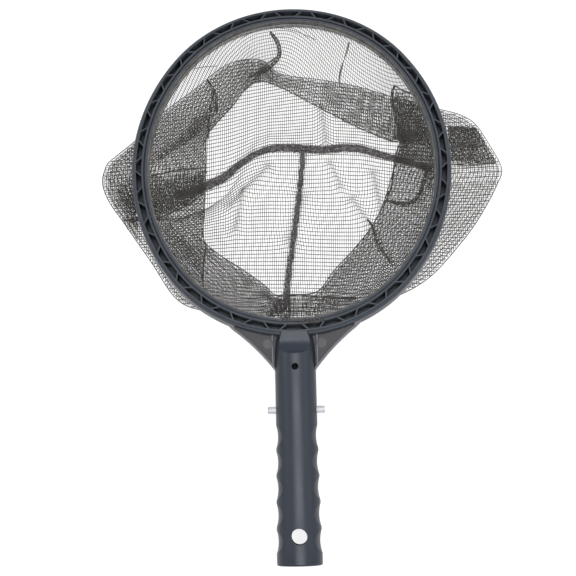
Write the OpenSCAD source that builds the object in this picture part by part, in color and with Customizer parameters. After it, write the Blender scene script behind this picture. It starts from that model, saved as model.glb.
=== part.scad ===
// Hand leaf skimmer for a spa or a small pool: an oval ring that holds a fine net bag, a tube
// handle with finger grips, and a spring clip whose two pins lock it into a telescopic pole.
// Millimetres, +Z up. It lies at rest as it is put down: the ring's far edge, the handle's end
// and the slack bag touch the ground. The origin is the centre of the whole object's base.

/* [Ring] */
// Overall width of the ring
ring_w = 230; // [200:1:280]
// Overall length of the ring, along the handle
ring_l = 264; // [220:1:320]
// Height of the ring
ring_h = 9; // [8:0.5:14]
// Thickness of the ring's outer wall
rim_wall = 3.1; // [2.4:0.1:5]
// Width of the open channel in the ring
channel_w = 4; // [3:0.1:6]
// Thickness of the floor under the channel
channel_floor = 2; // [1.2:0.1:3]
// Thickness of the ring's inner wall
inner_wall = 1.4; // [1:0.1:2]
// Width of the raised bead on the outer wall, next to the channel
bead_w = 1.3; // [0.8:0.1:1.6]
// Drop from the bead to the edge of the outer shoulder
shoulder_drop = 1.6; // [0.8:0.1:2.4]

/* [Ribs] */
// Pairs of slanted ribs in each half of the channel
rib_pairs = 15; // [8:1:18]
// Thickness of a rib
rib_t = 1; // [0.8:0.1:1.4]
// Distance between the two ribs of a pair at the outer wall
rib_top_gap = 7.7; // [5:0.1:9]
// Distance between the two ribs of a pair at the inner wall
rib_foot_gap = 15.3; // [11:0.1:16]
// Extra space in the pattern at each end of the ring
rib_end_gap = 2; // [0:0.5:4]

/* [Retaining ring and hem] */
// Width of the top of the ring that traps the net
retainer_w = 1.7; // [1.2:0.1:2.4]
// Height of the retaining ring
retainer_h = 5.7; // [4:0.1:7]
// Groove between the inner wall and the top of the retaining ring
retainer_groove = 0.9; // [0.4:0.1:1.2]
// Thickness of the folded hem
hem_t = 0.7; // [0.5:0.1:1]
// Depth of the hem below the rim
hem_h = 8; // [6:0.1:12]

/* [Handle] */
// Length of the handle from the ring
handle_l = 152; // [130:1:180]
// Diameter of the handle at the ring
handle_root_d = 28; // [26:0.1:32]
// Diameter of the handle at its open end
handle_end_d = 30.6; // [28:0.1:35]
// Diameter of the handle's bore
handle_bore_d = 22.4; // [21.4:0.1:23.6]
// Length of solid plastic at the ring end of the handle
handle_plug = 14; // [12:1:17]
// Angle by which the handle bends down from the plane of the ring
handle_bend = 13.1; // [5:0.1:18]
// Depth of the handle's axis below the rim where it meets the ring
handle_drop = 8.6; // [7:0.1:10]
// Distance from the ring at which the taper starts
taper_start = 58; // [55:1:62]
// Length of the plain band at the open end
end_band = 8; // [4:0.1:12]
// Distance from the ring within which the tube draws in
neck_l = 13; // [8:0.5:16]
// Amount by which the tube draws in at the ring
neck_in = 1.3; // [0:0.1:3]
// Length of the flat shelf on top of the tube at the ring
shelf_l = 2; // [1:0.5:6]
// Length of the hollow that rises from the shelf to the top of the tube
scoop_l = 9.5; // [6:0.5:12]

/* [Finger grips] */
// Finger hollows down each side
grip_count = 5; // [3:1:5]
// Distance from one hollow to the next
grip_pitch = 17.35; // [15:0.05:17.5]
// Depth of a hollow
grip_depth = 1.25; // [0.8:0.05:1.5]
// Distance from the ring to the first hollow
grip_start = 66.5; // [66:0.1:70]

/* [Holes] */
// Diameter of the hanging hole
hang_hole_d = 10.8; // [8:0.1:12]
// Distance from the hanging hole to the open end
hang_hole_inset = 18.8; // [14:0.1:22]
// Diameter of the drain hole
drain_hole_d = 4.6; // [3:0.1:5]
// Distance from the ring to the drain hole
drain_hole_s = 20.6; // [20:0.1:24]

/* [Spring clip] */
// Diameter of a clip pin
pin_d = 4.9; // [4:0.1:5.5]
// Length by which a pin stands out of the handle
pin_reach = 5.4; // [4:0.1:6.5]
// Distance from the ring to the pins
pin_s = 48.8; // [46:0.1:50]
// Play around a pin in its hole
pin_play = 0.9; // [0.85:0.05:1.2]
// Distance from the pins to the bend of the clip
clip_arm_l = 50; // [45:1:52]
// Thickness of the clip's arms
clip_t = 1.8; // [1.2:0.1:2.2]
// Width of the clip's arms
clip_w = 7.6; // [5:0.1:8]
// Space between the clip and the bore
clip_play = 0.9; // [0.8:0.05:1.2]

/* [Gussets] */
// Reach of a gusset along the ring
gusset_reach = 52; // [40:1:60]
// Distance from the ring to the tip of a gusset
gusset_tip = 22.2; // [18:0.1:26]
// Radius of a gusset's hollow outer edge
gusset_edge_r = 146; // [90:1:200]
// Thickness of a gusset's recessed web
gusset_t = 3; // [2:0.1:4]
// Height of the raised border over the web
lip_h = 1.8; // [1:0.1:2.4]
// Width of the raised border
lip_w = 1.3; // [0.8:0.1:2]
// Gap between the handle and the border beside it
lip_gap = 0.8; // [0.4:0.1:1.4]
// Reach of the recess from the middle of the handle
recess_end = 41; // [32:1:46]

/* [Net bag] */
// Thickness of one lying layer of the bag, as a plain sheet
layer_t = 1.2; // [0.8:0.1:2]
// Thickness of the hanging wall of the bag, as a plain sheet
wall_t = 1.2; // [0.8:0.1:2]
// Width of the seam across the bottom of the bag
bottom_seam_w = 5.3; // [4:0.1:7]
// Width of the seam up the side of the bag
side_seam_w = 4; // [3:0.1:6]
// Thickness of the seams
seam_t = 1; // [0.6:0.1:1.4]
// Reach of the bag's left corner past the ring
left_reach = 23; // [10:1:30]
// Reach of the bag's right corner past the ring
right_reach = 40; // [20:1:50]

/* [Hidden] */
$fn = 96;
fine = 240;        // steps round the ring's long arcs
plastic = "#4b535c";
netting = "#57544f";
tape = "#3a3838";
nylon = "#e9e9ee";
far = 70;          // further than any cut has to reach from the ring
wide = 400;        // further than the ring reaches from its own middle
face_gap = 0.1;    // space between curved faces of pieces that only rest against each other
seat_gap = 0.3;    // space round the clip's hinges and over the lying net
edge_break = 0.5;  // small chamfer on outside corners
end_break = 1;     // chamfer on the handle's end and the pins

// ---- the ring's oval: four arcs that meet smoothly, through the middle of the channel ----
half_channel = channel_w / 2;
rim_out = half_channel + rim_wall;      // offset of the outer face from the oval
half_w = ring_w / 2 - rim_out;
half_l = ring_l / 2 - rim_out;
meet = [0.8, 0.6];                      // direction in which the arcs' centres line up
centre_gap = (half_l - half_w) / (meet[0] + meet[1] - 1);
end_c = meet[1] * centre_gap;           // centres of the end and side arcs
side_c = -meet[0] * centre_gap;
end_r = half_l - end_c;
side_r = half_w - side_c;
end_span = atan(meet[0] / meet[1]);
end_arc = end_r * end_span * PI / 180;
side_arc = side_r * (90 - end_span) * PI / 180;
half_way = 2 * (end_arc + side_arc);    // length of one half of the oval

// ---- offsets from the oval, towards the middle of the ring, of what lies inside it ----
inner_face = -half_channel - inner_wall;
retainer_out = inner_face - retainer_groove;
retainer_in = retainer_out - retainer_w;
hem_out = retainer_in - face_gap;
hem_in = hem_out - hem_t;
wall_in = hem_out - wall_t;
retainer_step = 1.5;                    // depth of the groove beside the retaining ring
bead_out = half_channel + bead_w;
shoulder_dip = 0.7;                     // depth of the line between bead and shoulder

// ---- the handle's own frame: +Y to the ring, +Z through the crest, origin on its axis ----
root_r = handle_root_d / 2;
tip_r = handle_end_d / 2;
bore_r = handle_bore_d / 2;
taper_end = handle_l - end_band;
joint_y = -(half_l + rim_out);
neck_step = neck_l / 4;
function neck_r(s) = root_r - neck_in * pow((neck_l - s) / neck_l, 2);
function grip_r(s) = root_r + (tip_r - root_r) * (s - taper_start) / (taper_end - taper_start);

// The shelf lies in line with the top of the bead, and the scoop meets the top of the tube
shelf_z = (handle_drop - 0.2) * cos(handle_bend);
shelf_dip = 0.1;
shelf_rise = root_r - shelf_z;
scoop_r = (scoop_l * scoop_l + shelf_rise * shelf_rise) / (2 * shelf_rise);

// ---- how it lies: the ring's far bottom edge and the handle's end rim are on the ground ----
far_edge = [half_l + rim_out - edge_break, -ring_h];
end_rim_s = handle_l - end_break;
end_rim = [
    joint_y - end_rim_s * cos(handle_bend) + tip_r * sin(handle_bend),
    -handle_drop - end_rim_s * sin(handle_bend) - tip_r * cos(handle_bend)
];
ring_lean = atan((far_edge[1] - end_rim[1]) / (far_edge[0] - end_rim[0]));
ring_z = far_edge[0] * sin(ring_lean) - far_edge[1] * cos(ring_lean);

// ---- the middle of the base, from the middle of the ring ----
function tail_y(s, r) =
    (joint_y - s * cos(handle_bend) - r * sin(handle_bend)) * cos(ring_lean)
    + (-handle_drop - s * sin(handle_bend) + r * cos(handle_bend)) * sin(ring_lean);
nose_y = (half_l + rim_out) * cos(ring_lean) - shoulder_drop * sin(ring_lean);
tail_end_y = min(tail_y(handle_l, tip_r - end_break), tail_y(end_rim_s, tip_r));
base_x = (right_reach - left_reach) / 2;
base_y = (nose_y + tail_end_y) / 2;

// ---- the bag as it lies, from the middle of the ring: X outward from its side, then Y ----
left_edge = [
    [-16, 46], [1, 31], [left_reach - 3, 13], [left_reach, 2], [left_reach, -12],
    [left_reach - 3, -17], [-6, -56], [-27, -85], [-42, -98], [-55, -102]
];
right_edge = [
    [-16, 52], [-2, 47], [18, 39], [23, 33], [34, 14], [right_reach - 1, 4], [right_reach, -6],
    [right_reach - 3, -12], [11, -47], [-14, -74], [-42, -96], [-55, -102]
];
bag_middle = -60;                       // an inner end for both corners, hidden under the ring
bottom_seam_line = [
    [-97, 1], [-64, -11], [-38, 10], [-16, 20], [-2, 20], [12, 14], [44, 18], [75, 9], [97, 3]
];
side_seam_line = [[12, 14], [8, -12], [-3, -82], [-5, -100]];
seam_up_w = side_seam_w - 0.6;          // width of the part that climbs the wall
seam_end_w = 6;
seam_end_l = 2.4;
seam_wall_gap = 0.4;                    // clears the wall's curve beside the side seam
seam_wall_y = (-half_l - wall_in) / cos(ring_lean)
    + (layer_t + seam_t - ring_z) * tan(ring_lean) + seam_wall_gap;

// ---- the clip ----
clip_r = bore_r - clip_play;            // outside of the bend
arm_x = clip_r - clip_t / 2;            // middle of an arm
hinge_s = pin_s + clip_arm_l;
bow_s = hinge_s + clip_t / 2 + seat_gap;
pin_hole_r = pin_d / 2 + pin_play;
pin_end_x = root_r + pin_reach;
pin_pad = 3.6;                          // arm left past the middle of its pin
pin_round = 0.4;                        // chamfer on the pin's end

// Grip hollows are turned about an axis beyond the handle's own, so that they fade upwards
grip_axis_x = 5.4;
grip_chord = 15.5;
grip_r_along = (pow(grip_chord / 2, 2) + pow(grip_depth, 2)) / (2 * grip_depth);

// Ejector marks on the gussets
mark_r = 3.4;
mark_depth = 0.3;
mark_x = 18.3;
mark_s = 3.6;

// ---- placing ----
module place() {
    translate([-base_x, -base_y, 0]) children();
}

module in_ring() {
    place() translate([0, 0, ring_z]) rotate([-ring_lean, 0, 0]) children();
}

module in_handle() {
    in_ring() translate([0, joint_y, -handle_drop]) rotate([handle_bend, 0, 0]) children();
}

// A cylinder along the handle, from s to s + l
module along(s, l, r) {
    translate([0, -s, 0]) rotate([90, 0, 0]) cylinder(h = l, r = r);
}

// The share of the plane that belongs to one end arc and to one side arc
module end_wedge() {
    polygon([[0, end_c], meet * wide + [0, end_c], [-meet[0] * wide, end_c + meet[1] * wide]]);
}

module side_wedge() {
    polygon([[side_c, 0], meet * wide + [side_c, 0], [side_c + meet[0] * wide, -meet[1] * wide]]);
}

// Sweeps a section round the oval: its X is the offset outward from the oval
module round_oval() {
    for (turn = [0, 180])
        rotate([0, 0, turn]) {
            intersection() {
                translate([0, end_c, 0]) rotate_extrude($fn = fine) translate([end_r, 0]) children();
                translate([0, 0, -far]) linear_extrude(height = 2 * far) end_wedge();
            }
            intersection() {
                translate([side_c, 0, 0]) rotate_extrude($fn = fine) translate([side_r, 0]) children();
                translate([0, 0, -far]) linear_extrude(height = 2 * far) side_wedge();
            }
        }
}

// A prism on the oval offset by v
module oval_prism(v, low, high) {
    translate([0, 0, low]) linear_extrude(height = high - low)
        for (turn = [0, 180])
            rotate(turn) {
                intersection() {
                    translate([0, end_c]) circle(r = end_r + v, $fn = fine);
                    end_wedge();
                }
                intersection() {
                    translate([side_c, 0]) circle(r = side_r + v, $fn = fine);
                    side_wedge();
                }
            }
}

// A point on the oval at distance s from its far end, offset by v, for X above 0
function oval_angle(s) =
    s < end_arc ? s / end_r * 180 / PI :
    s <= half_way - end_arc ? end_span + (s - end_arc) / side_r * 180 / PI :
    180 - (half_way - s) / end_r * 180 / PI;
function oval_centre(s) =
    s < end_arc ? [0, end_c] :
    s <= half_way - end_arc ? [side_c, 0] :
    [0, -end_c];
function oval_radius(s) = s < end_arc || s > half_way - end_arc ? end_r : side_r;
function oval_point(s, v) =
    oval_centre(s) + (oval_radius(s) + v) * [sin(oval_angle(s)), cos(oval_angle(s))];

// ---- ring ----
module rim_section() {
    polygon([
        [half_channel, 0], [bead_out, 0], [bead_out + 0.2, -shoulder_dip],
        [bead_out + 0.8, -shoulder_dip + 0.1], [rim_out - 0.5, -shoulder_drop + 0.5],
        [rim_out, -shoulder_drop], [rim_out, edge_break - ring_h], [rim_out - edge_break, -ring_h],
        [inner_face + edge_break, -ring_h], [inner_face, edge_break - ring_h], [inner_face, -0.3],
        [inner_face + 0.3, 0], [-half_channel, 0], [-half_channel, channel_floor - ring_h],
        [half_channel, channel_floor - ring_h]
    ]);
}

// What the handle and the gussets are cut back by, so that they meet the ring's outside
module rim_envelope() {
    round_oval() polygon([
        [-far / 2, far], [bead_out, far], [bead_out, 0], [bead_out + 0.2, -shoulder_dip],
        [bead_out + 0.8, -shoulder_dip + 0.1], [rim_out - 0.5, -shoulder_drop + 0.5],
        [rim_out, -shoulder_drop], [rim_out, -far], [-far / 2, -far]
    ]);
}

module rib(outer_s, inner_s) {
    bite = 0.6;                         // how far a rib runs into both walls
    p = oval_point(outer_s, half_channel);
    q = oval_point(inner_s, -half_channel);
    run = norm(p - q) + 2 * bite;
    low = channel_floor - ring_h - 0.2;
    high = -0.15;
    translate([(p[0] + q[0]) / 2, (p[1] + q[1]) / 2, (low + high) / 2])
        rotate([0, 0, atan2(p[1] - q[1], p[0] - q[0])])
            cube([run, rib_t, high - low], center = true);
}

module ribs() {
    pitch = (half_way - rib_end_gap) / rib_pairs;
    for (half = [0, 1])
        mirror([half, 0, 0])
            for (i = [0 : rib_pairs - 1]) {
                middle = rib_end_gap / 2 + (i + 0.5) * pitch;
                rib(middle - rib_top_gap / 2, middle - rib_foot_gap / 2);
                rib(middle + rib_top_gap / 2, middle + rib_foot_gap / 2);
            }
}

module rim_frame() {
    color(plastic) in_ring() {
        round_oval() rim_section();
        ribs();
    }
}

// ---- gussets ----
module gusset_plan() {
    arc_r = end_r + rim_out;
    upper = [gusset_reach, arc_r - sqrt(arc_r * arc_r - gusset_reach * gusset_reach)];
    tip = [root_r - 0.2, -gusset_tip];
    chord = norm(upper - tip);
    out = [upper[1] - tip[1], tip[0] - upper[0]] / chord;
    centre = (upper + tip) / 2 + out * sqrt(gusset_edge_r * gusset_edge_r - chord * chord / 4);
    difference() {
        polygon([[0, tip[1]], tip, upper + [0, 3], [0, upper[1] + 3]]);
        translate(centre) circle(r = gusset_edge_r);
    }
}

module gusset_border() {
    arc_r = end_r + rim_out;
    upper = [gusset_reach, arc_r - sqrt(arc_r * arc_r - gusset_reach * gusset_reach)];
    tip = [root_r - 0.2, -gusset_tip];
    chord = norm(upper - tip);
    out = [upper[1] - tip[1], tip[0] - upper[0]] / chord;
    centre = (upper + tip) / 2 + out * sqrt(gusset_edge_r * gusset_edge_r - chord * chord / 4);
    intersection() {
        gusset_plan();
        union() {
            translate(centre) circle(r = gusset_edge_r + lip_w);
            translate([root_r + lip_gap, -far]) square([lip_w * 0.7, 2 * far]);
            translate([recess_end, -far]) square([far, 2 * far]);
        }
    }
}

module gusset(side) {
    low = -0.8;                         // underside of the web from the handle's axis
    color(plastic) difference() {
        in_handle() mirror([side, 0, 0]) difference() {
            translate([0, 0, low]) {
                linear_extrude(height = gusset_t) gusset_plan();
                linear_extrude(height = gusset_t + lip_h) gusset_border();
            }
            handle_outside();
            translate([mark_x, -mark_s, low + gusset_t - mark_depth]) cylinder(h = far, r = mark_r);
        }
        in_ring() rim_envelope();
    }
}

module gusset_left() { gusset(1); }
module gusset_right() { gusset(0); }

// ---- handle ----
module handle_outside() {
    rotate([90, 0, 0]) rotate_extrude() polygon([
        [0, -3 * neck_step], for (i = [-3 : 3]) [neck_r(i * neck_step), i * neck_step],
        [root_r, neck_l], [root_r, taper_start], [tip_r, taper_end],
        [tip_r, handle_l - end_break], [tip_r - 0.3, handle_l - 0.3],
        [tip_r - end_break, handle_l], [0, handle_l]
    ]);
}

// The hollows down the right side: each is part of a ring turned about a line beyond the axis
module grip_hollows() {
    for (i = [0 : grip_count - 1]) {
        s = grip_start + i * grip_pitch;
        floor_r = grip_r(s) - grip_depth + grip_axis_x;
        translate([-grip_axis_x, -s, 0]) rotate([90, 0, 0])
            rotate_extrude() translate([floor_r + grip_r_along, 0]) circle(r = grip_r_along);
    }
}

module handle() {
    color(plastic) difference() {
        in_handle() difference() {
            handle_outside();
            along(handle_plug, far + handle_l, bore_r);
            grip_hollows();
            mirror([1, 0, 0]) grip_hollows();
            translate([-far, -shelf_l, shelf_z]) cube([2 * far, 2 * far, far]);
            translate([-far, -shelf_l, shelf_z + scoop_r - shelf_dip])
                rotate([0, 90, 0]) cylinder(h = 2 * far, r = scoop_r);
            translate([0, -drain_hole_s, 0]) cylinder(h = far, d = drain_hole_d);
            translate([0, hang_hole_inset - handle_l, -far]) cylinder(h = 2 * far, d = hang_hole_d);
            translate([-far, -pin_s, 0]) rotate([0, 90, 0]) cylinder(h = 2 * far, r = pin_hole_r);
        }
        in_ring() rim_envelope();
    }
}

// ---- retaining ring and hem ----
module net_retainer() {
    color(plastic) in_ring() round_oval() polygon([
        [retainer_in, -0.5], [retainer_in + 0.3, -0.2], [retainer_out - 0.3, -0.2],
        [retainer_out, -0.5], [retainer_out, -retainer_step],
        [inner_face - face_gap, -retainer_step - 0.4], [inner_face - face_gap, -retainer_h],
        [retainer_in, -retainer_h]
    ]);
}

module net_hem() {
    color(netting) in_ring() round_oval() translate([hem_in, -hem_h])
        square([hem_t, hem_h - 0.5]);
}

// ---- bag ----
module above(z) {
    translate([-2 * ring_w, -2 * ring_l, z]) cube([4 * ring_w, 4 * ring_l, 2 * far]);
}

module slab(z, t) {
    translate([-2 * ring_w, -2 * ring_l, z]) cube([4 * ring_w, 4 * ring_l, t]);
}

module net_wall() {
    color(netting) intersection() {
        in_ring() round_oval() translate([wall_in, -far]) square([wall_t, far - hem_h - face_gap]);
        above(layer_t);
    }
}

// Outline of one corner of the bag; side is -1 on the left and 1 on the right
module corner_plan(side, edge) {
    polygon(concat(
        [[side * (ring_w / 2 + bag_middle), edge[0][1]]],
        [for (p = edge) [side * (ring_w / 2 + p[0]), p[1]]],
        [[side * (ring_w / 2 + bag_middle), edge[len(edge) - 1][1]]]
    ));
}

module net_bottom() {
    color(netting) {
        intersection() {
            in_ring() oval_prism(hem_out, -far, far);
            slab(0, layer_t);
        }
        place() linear_extrude(height = layer_t) {
            corner_plan(-1, left_edge);
            corner_plan(1, right_edge);
        }
    }
}

module corner_layer(side, edge) {
    color(netting) difference() {
        place() translate([0, 0, layer_t + seat_gap])
            linear_extrude(height = layer_t) corner_plan(side, edge);
        in_ring() oval_prism(hem_out + seat_gap, -far, far);
    }
}

module net_corner_left() { corner_layer(-1, left_edge); }
module net_corner_right() { corner_layer(1, right_edge); }

// ---- seams: flat tapes along their lines on the lying bag ----
function step_of(line, i) = (line[i + 1] - line[i]) / norm(line[i + 1] - line[i]);
function step_in(line, i) = step_of(line, max(i - 1, 0));
function step_out(line, i) = step_of(line, min(i, len(line) - 2));
function mitre(line, i) =
    let (a = step_in(line, i), b = step_out(line, i))
    [-a[1] - b[1], a[0] + b[0]] / (1 + a * b);

module tape_plan(line, w) {
    last = len(line) - 1;
    polygon(concat(
        [for (i = [0 : last]) line[i] + mitre(line, i) * w / 2],
        [for (i = [last : -1 : 0]) line[i] - mitre(line, i) * w / 2]
    ));
}

module seam_bottom() {
    color(tape) place() translate([0, 0, layer_t])
        linear_extrude(height = seam_t) tape_plan(bottom_seam_line, bottom_seam_w);
}

module seam_side() {
    foot = side_seam_line[len(side_seam_line) - 1];
    color(tape) {
        place() translate([0, 0, layer_t]) linear_extrude(height = seam_t) difference() {
            union() {
                tape_plan(side_seam_line, side_seam_w);
                translate([foot[0] - side_seam_w / 2, seam_wall_y])
                    square([side_seam_w, foot[1] + 2 - seam_wall_y]);
            }
            tape_plan(bottom_seam_line, bottom_seam_w + 2 * face_gap);
        }
        intersection() {
            in_ring() translate([foot[0] - seam_up_w / 2, -half_l - wall_in + seam_wall_gap, -far])
                cube([seam_up_w, seam_t, far - 1]);
            above(layer_t + seam_t / 2);
        }
    }
}

// The bunched end of the side seam, which sticks out over the retaining ring
module seam_end() {
    foot = side_seam_line[len(side_seam_line) - 1];
    color(tape) in_ring() translate([foot[0] - seam_end_w / 2, -half_l - retainer_out, -0.2])
        cube([seam_end_w, seam_end_l, seam_t]);
}

// ---- spring clip ----
module clip_bow() {
    color(nylon) in_handle() translate([0, -bow_s, -clip_w / 2]) difference() {
        cylinder(h = clip_w, r = clip_r);
        translate([0, 0, -1]) cylinder(h = clip_w + 2, r = clip_r - clip_t);
        translate([-far, 0, -1]) cube([2 * far, far, clip_w + 2]);
    }
}

module clip_arm(side) {
    color(nylon) in_handle() mirror([side, 0, 0]) {
        translate([arm_x, -hinge_s, -clip_w / 2]) cylinder(h = clip_w, d = clip_t);
        translate([arm_x - clip_t / 2, -hinge_s, -clip_w / 2])
            cube([clip_t, clip_arm_l + pin_pad, clip_w]);
        translate([arm_x, -pin_s, 0]) rotate([0, 90, 0]) {
            cylinder(h = pin_end_x - arm_x - pin_round, d = pin_d);
            translate([0, 0, pin_end_x - arm_x - pin_round])
                cylinder(h = pin_round, d1 = pin_d, d2 = pin_d - 2 * pin_round);
        }
    }
}

module clip_arm_left() { clip_arm(1); }
module clip_arm_right() { clip_arm(0); }

rim_frame();
gusset_left();
gusset_right();
handle();
net_retainer();
net_hem();
net_wall();
net_bottom();
net_corner_left();
net_corner_right();
seam_bottom();
seam_side();
seam_end();
clip_bow();
clip_arm_left();
clip_arm_right();
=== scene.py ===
"""Looks of a hand leaf skimmer: moulded ring and handle, spring clip and slack mesh bag."""

import logging
import math
from dataclasses import dataclass
from enum import Enum

import bpy
import numpy as np
from mathutils import Matrix, Vector


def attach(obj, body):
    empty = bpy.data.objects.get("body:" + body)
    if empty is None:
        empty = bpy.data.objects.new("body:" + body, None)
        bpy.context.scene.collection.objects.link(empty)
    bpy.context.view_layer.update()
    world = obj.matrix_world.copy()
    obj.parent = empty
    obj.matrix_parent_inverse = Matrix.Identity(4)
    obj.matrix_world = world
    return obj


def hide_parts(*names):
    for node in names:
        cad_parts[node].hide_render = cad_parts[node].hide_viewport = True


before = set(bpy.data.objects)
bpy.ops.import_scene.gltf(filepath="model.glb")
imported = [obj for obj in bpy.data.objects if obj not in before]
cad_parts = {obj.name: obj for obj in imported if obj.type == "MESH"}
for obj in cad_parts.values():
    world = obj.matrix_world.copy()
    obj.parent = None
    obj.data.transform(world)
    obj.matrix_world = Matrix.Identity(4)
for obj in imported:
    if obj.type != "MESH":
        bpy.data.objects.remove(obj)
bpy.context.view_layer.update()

log = logging.getLogger("skimmer")
MM = 0.001
TINY = 1e-12

Material, Node, Socket = bpy.types.Material, bpy.types.Node, bpy.types.NodeSocket
Piece, Tree = bpy.types.Object, bpy.types.NodeTree
Array = np.ndarray
Pair, Triple = tuple[float, float], tuple[float, float, float]


# ---- colours and nodes


def srgb(code: str) -> tuple[float, float, float, float]:
    """Turn an sRGB hex code into linear RGBA.

    Args:
        code: Six hex digits, with or without a leading hash sign.

    Returns:
        The linear colour, with an alpha of 1.
    """
    digits = code.lstrip("#")
    parts = [int(digits[i : i + 2], 16) / 255 for i in (0, 2, 4)]
    linear = [c / 12.92 if c <= 0.04045 else ((c + 0.055) / 1.055) ** 2.4 for c in parts]
    return (linear[0], linear[1], linear[2], 1.0)


def add_node(tree: Tree, kind: str, settings: dict | None = None) -> Node:
    """Add a node, set it up and link its inputs.

    Args:
        tree: The node tree to add to.
        kind: The node's type name, after ShaderNode.
        settings: Attribute names, or input names and numbers, with their values. An input whose
            value is a socket, or a node, which stands for its first output, is linked to it.

    Returns:
        The new node.
    """
    node = tree.nodes.new("ShaderNode" + kind)
    for name, value in (settings or {}).items():
        if isinstance(value, (Node, Socket)):
            output = value.outputs[0] if isinstance(value, Node) else value
            tree.links.new(output, node.inputs[name])
        elif isinstance(name, str) and hasattr(node, name) and name not in node.inputs:
            setattr(node, name, value)
        else:
            node.inputs[name].default_value = value
    return node


def new_material(name: str) -> tuple[Material, Tree]:
    """Make a material with an empty node tree.

    Args:
        name: The material's name.

    Returns:
        The material and its node tree.
    """
    material = bpy.data.materials.new(name)
    material.use_nodes = True
    material.node_tree.nodes.clear()
    return material, material.node_tree


def new_object(name: str, data: bpy.types.ID) -> Piece:
    """Make an object of some data and link it to the scene."""
    piece = bpy.data.objects.new(name, data)
    bpy.context.scene.collection.objects.link(piece)
    return piece


# ---- finishes


class Finish:
    """What every finish shares: a shader between the Object coordinates and the output."""

    name: str
    relief_mm: float = 0.1

    def shade(self, tree: Tree, here: Socket) -> Node:
        """Make the shader from the Object coordinates."""
        raise NotImplementedError

    def build(self) -> Material:
        """Build the node material."""
        material, tree = new_material(self.name)
        here = add_node(tree, "TexCoord").outputs["Object"]
        add_node(tree, "OutputMaterial", {"Surface": self.shade(tree, here)})
        return material


@dataclass(frozen=True)
class MouldedPolypropylene(Finish):
    """Injection-moulded polypropylene: satin, with a fine spark-eroded grain and slow tone drift.

    The grain is drawn at 0.7 mm, coarser than the real 0.1 mm, so that it shows; it spreads the
    highlight into a soft band. The pale scuffs are the rubbing that a pool tool gets.
    """

    name: str = "moulded_polypropylene_slate"
    tone: str = "#1f2630"
    tone_worn: str = "#282f3a"
    scuff: str = "#475060"
    roughness: float = 0.38
    specular: float = 0.3
    ior: float = 1.49
    grain_mm: float = 0.7
    grain_depth: float = 0.12
    scuff_mm: float = 5.0
    drift_mm: float = 38.0

    def layers(self, tree: Tree, here: Socket) -> list[tuple[str, Node]]:
        """List the tones that lie over the base tone, each with the node that says how much."""
        scratch = add_node(tree, "TexNoise", {
            "Scale": 1 / (self.scuff_mm * MM), "Detail": 8.0, "Roughness": 0.72, "Distortion": 1.4,
            "Vector": here,
        })
        amount = add_node(tree, "MapRange", {
            "From Min": 0.6, "From Max": 0.8, "To Max": 0.35, "Value": scratch,
        })
        return [(self.scuff, amount)]

    def shade(self, tree: Tree, here: Socket) -> Node:
        """Make a satin shader whose gloss drifts with its tone."""
        drift = add_node(tree, "TexNoise", {
            "Scale": 1 / (self.drift_mm * MM), "Detail": 3.0, "Roughness": 0.55, "Vector": here,
        })
        grain = add_node(tree, "TexNoise", {
            "Scale": 1 / (self.grain_mm * MM), "Detail": 2.0, "Roughness": 0.6, "Vector": here,
        })
        colour = add_node(tree, "Mix", {
            "data_type": "RGBA", 6: srgb(self.tone), 7: srgb(self.tone_worn), 0: drift,
        })
        for tone, amount in self.layers(tree, here):
            colour = add_node(tree, "Mix", {
                "data_type": "RGBA", 7: srgb(tone), 0: amount, 6: colour.outputs[2],
            })
        rough = add_node(tree, "MapRange", {
            "From Min": 0.3, "From Max": 0.7, "To Min": self.roughness - 0.05,
            "To Max": self.roughness + 0.07, "Value": drift,
        })
        bump = add_node(tree, "Bump", {
            "Strength": self.grain_depth, "Distance": self.relief_mm * MM, "Height": grain,
        })
        return add_node(tree, "BsdfPrincipled", {
            "IOR": self.ior, "Specular IOR Level": self.specular, "Base Color": colour.outputs[2],
            "Roughness": rough, "Normal": bump,
        })


@dataclass(frozen=True)
class RingPolypropylene(MouldedPolypropylene):
    """The same moulding on the ring: greyer than the handle's, with paler scuffs.

    The channel between the ribs is darkened by painted shade where little open sky is seen.
    """

    name: str = "moulded_polypropylene_ring"
    tone: str = "#353a41"
    tone_worn: str = "#474c53"
    scuff: str = "#6a7076"
    painted_channel_shade: str = "#0b0d10"
    drift_mm: float = 12.0
    reach_mm: float = 5.0

    def layers(self, tree: Tree, here: Socket) -> list[tuple[str, Node]]:
        """Add the painted shade, which lies where little open sky is seen."""
        # Painted shade: a near-black tone darkens the channel where ambient occlusion finds little
        # open sky.
        open_sky = add_node(tree, "AmbientOcclusion", {
            "samples": 8, "only_local": True, "Distance": self.reach_mm * MM,
        })
        amount = add_node(tree, "MapRange", {
            "From Min": 0.62, "From Max": 0.3, "To Max": 0.9, "Value": open_sky.outputs["AO"],
        })
        return [*super().layers(tree, here), (self.painted_channel_shade, amount)]


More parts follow.
